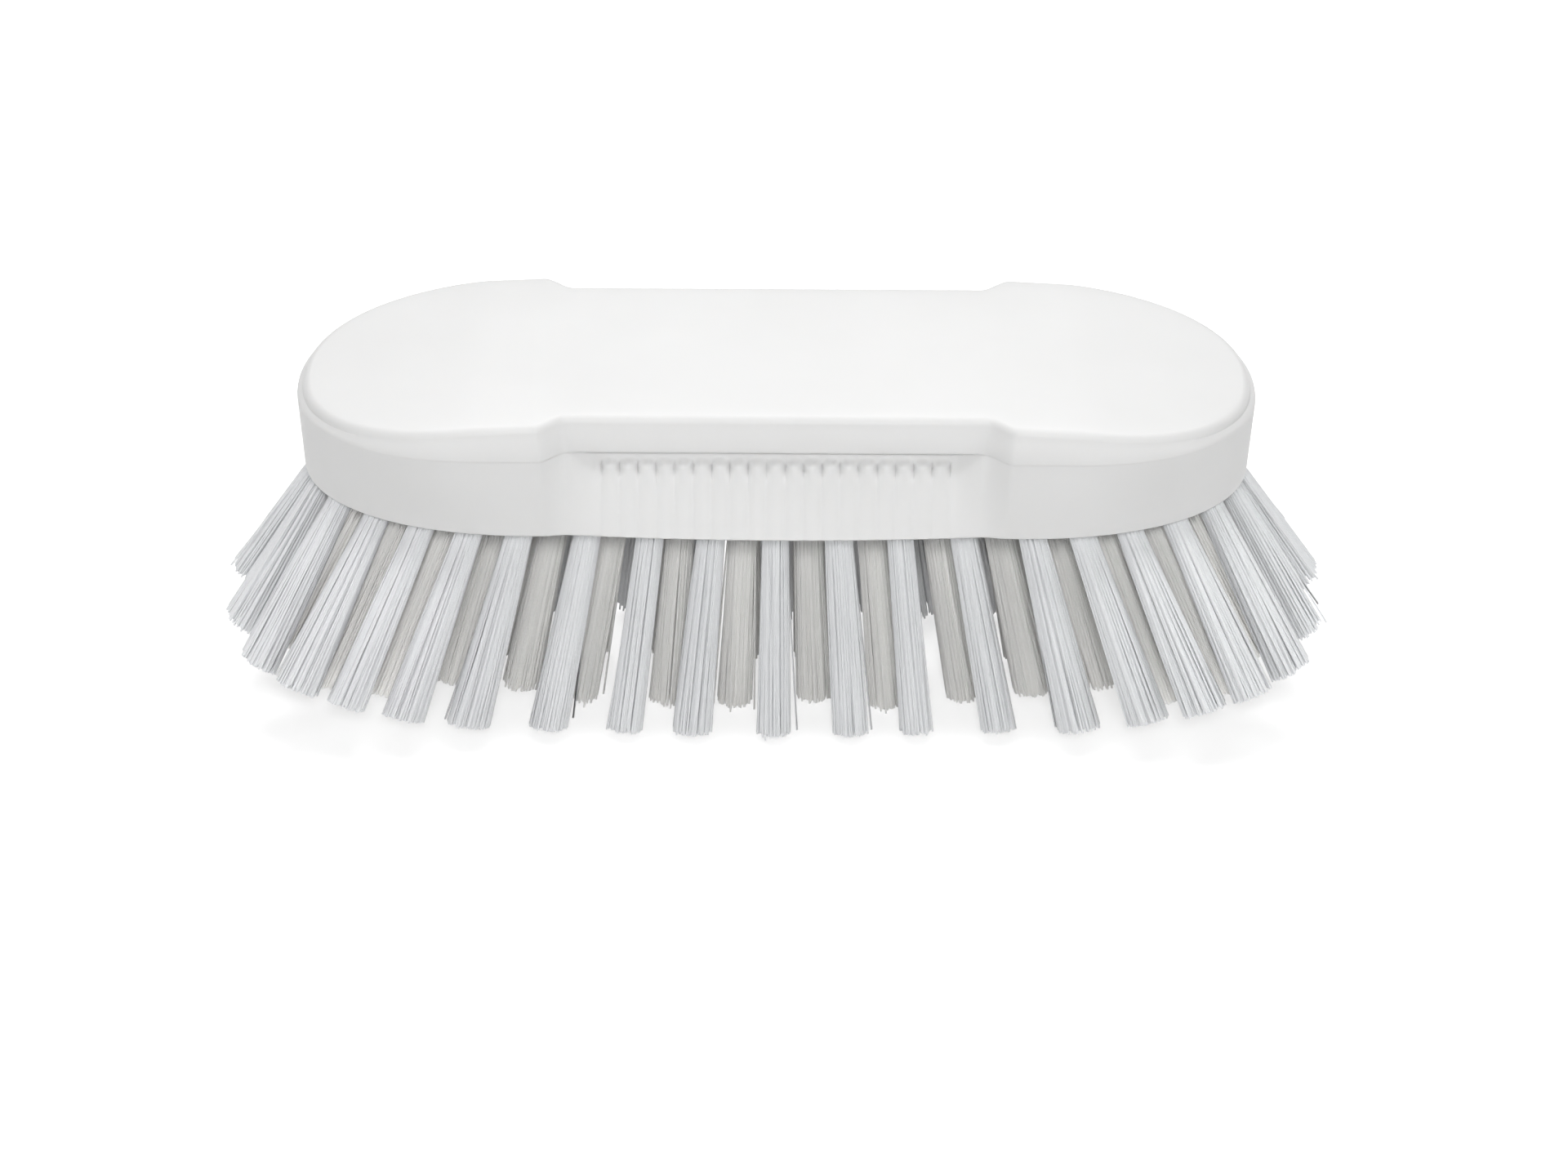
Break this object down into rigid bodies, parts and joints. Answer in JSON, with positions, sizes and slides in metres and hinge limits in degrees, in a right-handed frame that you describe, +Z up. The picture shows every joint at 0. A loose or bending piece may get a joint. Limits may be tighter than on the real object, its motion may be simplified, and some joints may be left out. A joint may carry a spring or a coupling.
{
  "type": "scrub brush",
  "caption": "Hand scrub brush: a white moulded block with a narrower waist and ribbed finger grips, and stiff bristle tufts that fan out below it.",
  "frame": {"origin": "on the ground below the middle of the block, at the level of the standing bristle tips", "axes": "+X along the block, +Y across it, +Z up through its back; the bristles point down"},
  "size_m": [0.2324, 0.0762, 0.0799],
  "materials": {
    "block": "satin",
    "bristle": "satin"
  },
  "bodies": {
    "root": {"brush_block": "block", "outer_tuft_01": "bristle", "outer_tuft_02": "bristle", "outer_tuft_03": "bristle", "outer_tuft_04": "bristle", "outer_tuft_05": "bristle", "outer_tuft_06": "bristle", "outer_tuft_07": "bristle", "outer_tuft_08": "bristle", "outer_tuft_09": "bristle", "outer_tuft_10": "bristle", "outer_tuft_11": "bristle", "outer_tuft_12": "bristle", "outer_tuft_13": "bristle", "outer_tuft_14": "bristle", "outer_tuft_15": "bristle", "outer_tuft_16": "bristle", "outer_tuft_17": "bristle", "outer_tuft_18": "bristle", "outer_tuft_19": "bristle", "outer_tuft_20": "bristle", "outer_tuft_21": "bristle", "outer_tuft_22": "bristle", "outer_tuft_23": "bristle", "outer_tuft_24": "bristle", "outer_tuft_25": "bristle", "outer_tuft_26": "bristle", "outer_tuft_27": "bristle", "outer_tuft_28": "bristle", "outer_tuft_29": "bristle", "outer_tuft_30": "bristle", "outer_tuft_31": "bristle", "outer_tuft_32": "bristle", "outer_tuft_33": "bristle", "outer_tuft_34": "bristle", "outer_tuft_35": "bristle", "outer_tuft_36": "bristle", "outer_tuft_37": "bristle", "outer_tuft_38": "bristle", "inner_tuft_row_01": "bristle", "inner_tuft_row_02": "bristle", "inner_tuft_row_03": "bristle", "inner_tuft_row_04": "bristle", "inner_tuft_row_05": "bristle", "inner_tuft_row_06": "bristle", "inner_tuft_row_07": "bristle", "inner_tuft_row_08": "bristle", "inner_tuft_row_09": "bristle", "inner_tuft_row_10": "bristle", "inner_tuft_row_11": "bristle", "inner_tuft_row_12": "bristle", "inner_tuft_row_13": "bristle", "inner_tuft_row_14": "bristle", "inner_tuft_row_15": "bristle", "inner_tuft_row_16": "bristle"}
  },
  "joints": []
}
